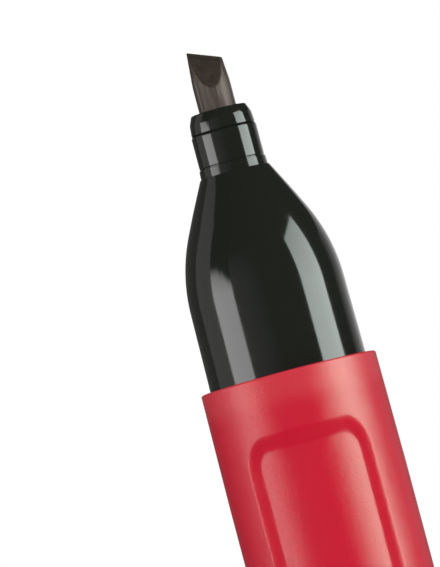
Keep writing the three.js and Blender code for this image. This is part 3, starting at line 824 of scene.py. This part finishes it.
ferrule = {
    "shankRadius": 3.4,
    "shankRound": 0.2,
    "lipRadius": 4.22,
    "lipRound": 0.18,
    "joint": 0.01,
    "shoulderRadius": 4.09,
    "shoulderHeight": 1.12,  # the lip leans in above this, measured down from its top
    "shoulderRound": 1.1,
    "lipTopRadius": 3.62,
    "lipTopRound": 0.15,
    "bore": 2.65,
    "boreRound": 0.08,
    "ventCount": 4,
    "ventWidth": 0.8,
    "ventDepth": 0.35,
    "ventReach": 0.05,  # points this close to the bore are sunk with it
    "around": 192,
}


def makeFerrule():
    foot = lowOf("nib_ferrule")
    lipFoot = neckTop + nose["neckRise"] + ferrule["joint"]
    mesh = turned(roundedOutline([
        (ferrule["bore"], foot, 0),
        (ferrule["shankRadius"], foot, ferrule["shankRound"]),
        (ferrule["shankRadius"], lipFoot, 0),
        (ferrule["lipRadius"], lipFoot, ferrule["lipRound"]),
        (ferrule["shoulderRadius"], lipTop - ferrule["shoulderHeight"], ferrule["shoulderRound"]),
        (ferrule["lipTopRadius"], lipTop, ferrule["lipTopRound"]),
        (ferrule["bore"], lipTop, ferrule["boreRound"]),
    ]), ferrule["around"])
    halfVent = ferrule["ventWidth"] / 2 / ferrule["bore"]
    pitch = 2 * math.pi / ferrule["ventCount"]
    for vertex in mesh.verts:
        flat = vertex.co.xy
        offVent = abs((math.atan2(flat.y, flat.x) % pitch) - pitch / 2)
        if flat.length < (ferrule["bore"] + ferrule["ventReach"]) * mm and offVent < halfVent:
            vertex.co.xy = flat.normalized() * (ferrule["bore"] + ferrule["ventDepth"]) * mm
    finishPiece(newObject("ferrule", mesh), noseBlack, "marker", ["nib_ferrule"], "ferrule")


makeFerrule()


# Nib: a felt rod ground to a slanted chisel edge, then roughened along its fibres

nib = {
    "radius": 2.46,
    "tipRadius": 2.1,
    "taperLength": 4.6,
    "taperRound": 6,
    "tailRadius": 1.2,
    "tailLength": 3,
    "tailRounds": (0.2, 0.5),  # its end, and where it widens to the rod
    "edgeSlant": 21.2,
    "edgeThickness": 1.65,
    "bevelAngle": 21.3,
    "turn": -5,  # the chisel isn't quite square to the barrel's panel
    "groundFade": (0.05, 0.12),  # the ground faces' mark reaches this deep, and fades out over this
    # The painted shade line along the writing edge: how far in it lies, and how wide it is
    "paintedShadeDepth": 0.5,
    "paintedShadeWidth": 0.16,
    "voxel": 0.1,
    "wear": 0.5,
    "wearPasses": 3,
    "fibre": 0.18,
    "fibreLength": 3,
    "fibreDepth": 0.045,
    "around": 96,
}


def feltTree():
    tree, given = startTree("feltFibres", {name: "Float" for name in ("Fibre", "Fibre Length", "Depth")})
    place = addNode(tree, "GeometryNodeInputPosition")
    squeeze = addNode(tree, "Math", {0: given["Fibre"], 1: given["Fibre Length"]}, operation="DIVIDE")
    stretch = addNode(tree, "CombineXYZ", {0: 1.0, 1: 1.0, 2: squeeze})
    lengthwise = addNode(tree, "VectorMath", {0: place, 1: stretch}, operation="MULTIPLY")
    fineness = addNode(tree, "Math", {0: 1.0, 1: given["Fibre"]}, operation="DIVIDE")
    strands = addNode(tree, "TexNoise", {"Vector": lengthwise, "Scale": fineness, "Detail": 1.0})
    # The noise lies about 0.55, so the skin moves both ways
    centred = addNode(tree, "Math", {0: strands, 1: 0.55}, operation="SUBTRACT")
    height = addNode(tree, "Math", {0: centred, 1: given["Depth"]}, operation="MULTIPLY")
    normal = addNode(tree, "GeometryNodeInputNormal")
    shift = addNode(tree, "VectorMath", {0: normal, "Scale": height}, operation="SCALE")
    moved = addNode(tree, "GeometryNodeSetPosition", {"Geometry": given["Geometry"], "Offset": shift})
    return endTree(tree, moved, given)


def makeNib():
    foot = lowOf("nib")
    mesh = turned(roundedOutline([
        (0, foot, 0),
        (nib["tailRadius"], foot, nib["tailRounds"][0]),
        (nib["radius"], foot + nib["tailLength"], nib["tailRounds"][1]),
        (nib["radius"], nibTip - nib["taperLength"], nib["taperRound"]),
        (nib["tipRadius"], nibTip, 0),
        (0, nibTip, 0),
    ]), nib["around"])
    fall, lean = (math.tan(math.radians(nib[name])) for name in ("edgeSlant", "bevelAngle"))
    middle = nibTip - nib["tipRadius"] * fall
    half = nib["edgeThickness"] / 2
    turn = Matrix.Rotation(math.radians(nib["turn"]), 3, "Z")
    edgePoint = Vector((0, 0, middle)) * mm
    edgeNormal = turn @ Vector((fall, 0, 1)).normalized()
    cuts = [(edgePoint, edgeNormal)]
    cuts += [(turn @ Vector((0, side * half, middle)) * mm,
              turn @ Vector((fall * lean, side, lean)).normalized()) for side in (-1, 1)]
    for point, normal in cuts:
        found = bmesh.ops.bisect_plane(mesh, geom=mesh.verts[:] + mesh.edges[:] + mesh.faces[:],
                                       plane_co=point, plane_no=normal, clear_outer=True)
        rim = [e for e in found["geom_cut"] if isinstance(e, bmesh.types.BMEdge)]
        bmesh.ops.edgeloop_fill(mesh, edges=rim)
    bmesh.ops.recalc_face_normals(mesh, faces=mesh.faces)
    piece = newObject("feltNib", mesh)
    remesh = piece.modifiers.new("evenSkin", "REMESH")
    remesh.mode = "VOXEL"
    remesh.voxel_size = nib["voxel"] * mm
    smooth = piece.modifiers.new("wornEdges", "SMOOTH")
    smooth.factor = nib["wear"]
    smooth.iterations = nib["wearPasses"]
    settle(piece)
    # The ground faces are marked, so that the felt can be duller there, and a line along the edge that gets
    # painted shade
    ground = piece.data.attributes.new("ground", "FLOAT", "POINT")
    paintedEdgeShade = piece.data.attributes.new("paintedEdgeShade", "FLOAT", "POINT")
    start, fade = nib["groundFade"]
    for vertex in piece.data.vertices:
        depth = max((vertex.co - point).dot(normal) for point, normal in cuts) / mm
        ground.data[vertex.index].value = min(1, max(0, 1 + (depth + start) / fade))
        fromEdge = (edgePoint - vertex.co).dot(edgeNormal) / mm
        offPaintedShade = abs(fromEdge - nib["paintedShadeDepth"]) / nib["paintedShadeWidth"]
        paintedEdgeShade.data[vertex.index].value = max(0, 1 - offPaintedShade)
    runTree(piece, feltTree(), {
        "Fibre": nib["fibre"] * mm,
        "Fibre Length": nib["fibreLength"] * mm,
        "Depth": nib["fibreDepth"] * mm,
        "Material": felt,
    })
    finishPiece(piece, felt, "marker", ["nib"], "nib", sharpAngle=180)


makeNib()


# Tail plug: the post that the cap is pushed onto, with a cross inside that carries the reservoir

plug = {
    "postLength": 11,
    "postRounds": (1, 0.1),  # its foot and its top
    "gateRadii": (1.3, 1.5),  # of the dimple where the plastic was fed in
    "gateDepth": 0.3,
    "gateRound": 0.15,
    "shoulderGap": 0.15,
    "spigotRadius": 9.7,
    "spigotLength": 8,
    "spigotRounds": (0.1, 0.4, 0.2),  # its root, then its end outside and inside
    "wall": 1.5,
    "floorRound": 0.6,
    "crossThickness": 1.2,
    "crossTop": 4.7,
    "around": 256,
}


def makePlug():
    foot = barrelFoot - plug["postLength"]
    footRadius = nose["baseRadius"] - plug["postLength"] * math.tan(math.radians(nose["draft"]))
    shoulder = barrelFoot - plug["shoulderGap"]
    top = barrelFoot + plug["spigotLength"]
    cup = plug["spigotRadius"] - plug["wall"]
    floorHeight = foot + plug["wall"]
    piece = newObject("tailPlug", turned(roundedOutline([
        (0, foot + plug["gateDepth"], 0),
        (plug["gateRadii"][0], foot + plug["gateDepth"], plug["gateRound"]),
        (plug["gateRadii"][1], foot, plug["gateRound"]),
        (footRadius, foot, plug["postRounds"][0]),
        (nose["baseRadius"], shoulder, plug["postRounds"][1]),
        (plug["spigotRadius"], shoulder, plug["spigotRounds"][0]),
        (plug["spigotRadius"], top, plug["spigotRounds"][1]),
        (cup, top, plug["spigotRounds"][2]),
        (cup, floorHeight, plug["floorRound"]),
        (0, floorHeight, 0),
    ]), plug["around"]))
    reach, half = cup + plug["wall"] / 2, plug["crossThickness"] / 2
    arm = [(half, -reach), (half, -half), (reach, -half)]
    plus = [Matrix.Rotation(math.radians(90 * k), 2) @ Vector(point) for k in range(4) for point in arm]
    start = floorHeight - plug["wall"] / 2
    height = barrelFoot + plug["crossTop"] - start
    cross = extruded("cross", [(x, y, start) for x, y in plus], (0, 0, height))
    combine(piece, cross, "UNION")
    finishPiece(piece, noseBlack, "marker", ["tail_plug"], "plug")


makePlug()


# Cap: a drafted cup with a socket for its clip, and fins inside that hold the liner

cap = {
    "mouthRadius": 11.63,
    "mouthRound": 0.3,
    "draft": 0.75,
    "endWall": 1.6,
    "endRound": 1.5,
    "gateRadius": 1.1,
    "gateDepth": 0.25,
    "gateRound": 0.1,
    "bore": 10.6,
    "boreRound": 0.2,
    "floorRound": 0.8,
    "finCount": 6,
    "finHeight": 14,
    "finThickness": 1,
    "finLead": 0.8,
    "finPlay": 0.15,
    "socketPlay": 0.3,
    "socketWall": 1.1,
    "socketBase": 1.2,
    "socketDepth": 5.5,
    "socketRound": 1.4,
    "socketEdge": 0.3,
    "around": 256,
}
capSlope = math.tan(math.radians(cap["draft"]))


def capRadius(height):
    return cap["mouthRadius"] - (capMouth - height) * capSlope


def makeCap():
    inner = cap["bore"] - (capMouth - cap["endWall"]) * capSlope
    piece = newObject("cap", turned(roundedOutline([
        (0, cap["gateDepth"], 0),
        (cap["gateRadius"], cap["gateDepth"], cap["gateRound"]),
        (cap["gateRadius"] + cap["gateRound"], 0, cap["gateRound"]),
        (capRadius(0), 0, cap["endRound"]),
        (cap["mouthRadius"], capMouth, cap["mouthRound"]),
        (cap["bore"], capMouth, cap["boreRound"]),
        (inner, cap["endWall"], cap["floorRound"]),
        (0, cap["endWall"], 0),
    ]), cap["around"]))

    # The socket is a block round the clip's foot, and a pocket that is cut out through its top
    play = cap["socketPlay"]
    near, far = clipFace - play, clipFace + clip["thickness"] + play
    pocketHalf = clip["width"] / 2 + play
    pocketFoot = clip["foot"] - play
    outer = far + cap["socketWall"]
    half = pocketHalf + cap["socketWall"]
    foot = pocketFoot - cap["socketBase"]
    top = clip["foot"] + cap["socketDepth"]
    sagitta = capRadius(0) - math.sqrt(capRadius(0) ** 2 - half ** 2)
    root = (capRadius(0) + inner) / 2 - sagitta
    corners = roundedOutline([(root, -half, 0), (outer, -half, cap["socketRound"]),
                              (outer, half, cap["socketRound"]), (root, half, 0)])
    block = extruded("block", [(x, y, foot) for x, y in corners], (0, 0, top - foot))
    bevelled(block, cap["socketEdge"], segments=3, angle=30)
    combine(piece, block, "UNION")
    corners = [(near, -pocketHalf), (far, -pocketHalf), (far, pocketHalf), (near, pocketHalf)]
    pocket = extruded("pocket", [(x, y, pocketFoot) for x, y in corners], (0, 0, top + 1 - pocketFoot))
    combine(piece, pocket, "DIFFERENCE")

    fins = innerFins("fins", cap["finCount"], math.pi / cap["finCount"], cap["finThickness"],
                     liner["radius"] + cap["finPlay"], (inner + capRadius(0)) / 2, cap["endWall"] / 2,
                     cap["endWall"] + cap["finHeight"], cap["finLead"], capBlack)
    combine(piece, fins, "UNION")
    finishPiece(piece, capBlack, "cap", ["cap_shell"], "cap")


# Liner: the inner cup that seals round the neck

liner = {
    "radius": 5.4,
    "bore": 4.5,
    "floor": 1,
    "rounds": (0.3, 0.25, 0.4, 0.8),  # its foot, its rim outside and inside, its floor
    "around": 128,
}


def makeLiner():
    foot, rim = lowOf("cap_liner"), topOf("cap_liner")
    rounds = liner["rounds"]
    piece = newObject("liner", turned(roundedOutline([
        (0, foot, 0),
        (liner["radius"], foot, rounds[0]),
        (liner["radius"], rim, rounds[1]),
        (liner["bore"], rim, rounds[2]),
        (liner["bore"], foot + liner["floor"], rounds[3]),
        (0, foot + liner["floor"], 0),
    ]), liner["around"]))
    finishPiece(piece, milky, "cap", ["cap_liner"], "liner")


# Clip: a flat spring arm with a bead near its free end

clip = {
    "standOff": 1.5,
    "thickness": 1.6,
    "width": 6,
    "foot": 3,
    "length": 39,
    "rounds": (0.2, 0.3, 0.9, 0.3),  # its foot inside and outside, then its end outside and inside
    "edge": 0.35,
    "beadRadius": 2.2,
    "beadGap": 0.3,
    "beadSteps": 20,
}
clipFace = cap["mouthRadius"] + clip["standOff"]


def makeClip():
    outer = clipFace + clip["thickness"]
    foot, top = clip["foot"], clip["foot"] + clip["length"]
    radius, steps = clip["beadRadius"], clip["beadSteps"]
    beadHeight = top - 2 * radius
    beadCentre = capRadius(beadHeight) + clip["beadGap"] + radius
    bite = math.acos((beadCentre - clipFace) / radius)
    angles = [bite * (1 - 2 * k / steps) for k in range(steps + 1)]
    bead = [(beadCentre - radius * math.cos(a), beadHeight + radius * math.sin(a)) for a in angles]
    places = ((clipFace, foot), (outer, foot), (outer, top), (clipFace, top))
    corners = roundedOutline([(*place, rounding) for place, rounding in zip(places, clip["rounds"])])
    width = clip["width"]
    piece = extruded("clip", [(x, -width / 2, z) for x, z in corners + bead], (0, width, 0))
    bevelled(piece, clip["edge"], segments=4, angle=50)
    finishPiece(piece, capBlack, "clip", ["cap_clip"], "clip")


makeCap()
makeLiner()
makeClip()


# Pieces inside the barrel keep their shapes from the frame and get their finishes

for node, material in (("reservoir_core", fibre), ("reservoir_wrap", film), ("breather_tube", milky)):
    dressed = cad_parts[node]
    dressed.data.materials.clear()
    dressed.data.materials.append(material)
